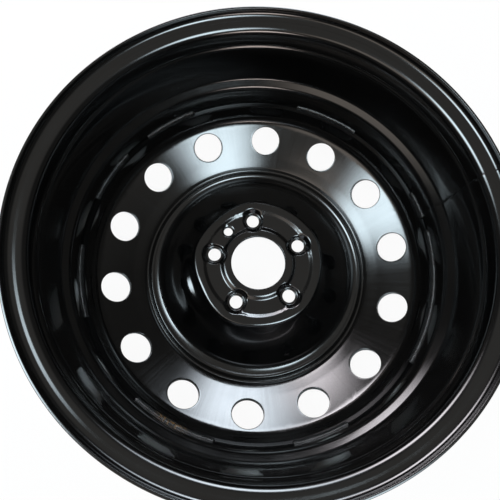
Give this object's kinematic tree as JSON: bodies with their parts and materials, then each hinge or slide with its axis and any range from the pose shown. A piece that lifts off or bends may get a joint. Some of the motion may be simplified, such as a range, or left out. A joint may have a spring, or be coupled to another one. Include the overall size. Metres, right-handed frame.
{
  "type": "steel wheel rim",
  "caption": "Black painted pressed-steel road wheel: rolled drop-centre rim, welded stamped disc with round vents, lug holes, locating hole and hub bore.",
  "frame": {"origin": "on the wheel's axis, at the plane of the outboard lip that the wheel lies on", "axes": "+Z along the wheel's axis towards the inboard (hub) side, +X and +Y in the plane of the lip"},
  "size_m": [0.4712, 0.471, 0.2018],
  "materials": {
    "rim_paint": "satin black dip coat over steel",
    "disc_paint": "satin black dip coat over steel",
    "weld_paint": "black dip coat over rough weld bead"
  },
  "bodies": {
    "root": {"rim": "rim_paint", "disc": "disc_paint", "weld_1": "weld_paint", "weld_2": "weld_paint", "weld_3": "weld_paint", "weld_4": "weld_paint", "weld_5": "weld_paint", "weld_6": "weld_paint", "weld_7": "weld_paint", "weld_8": "weld_paint"}
  },
  "joints": []
}
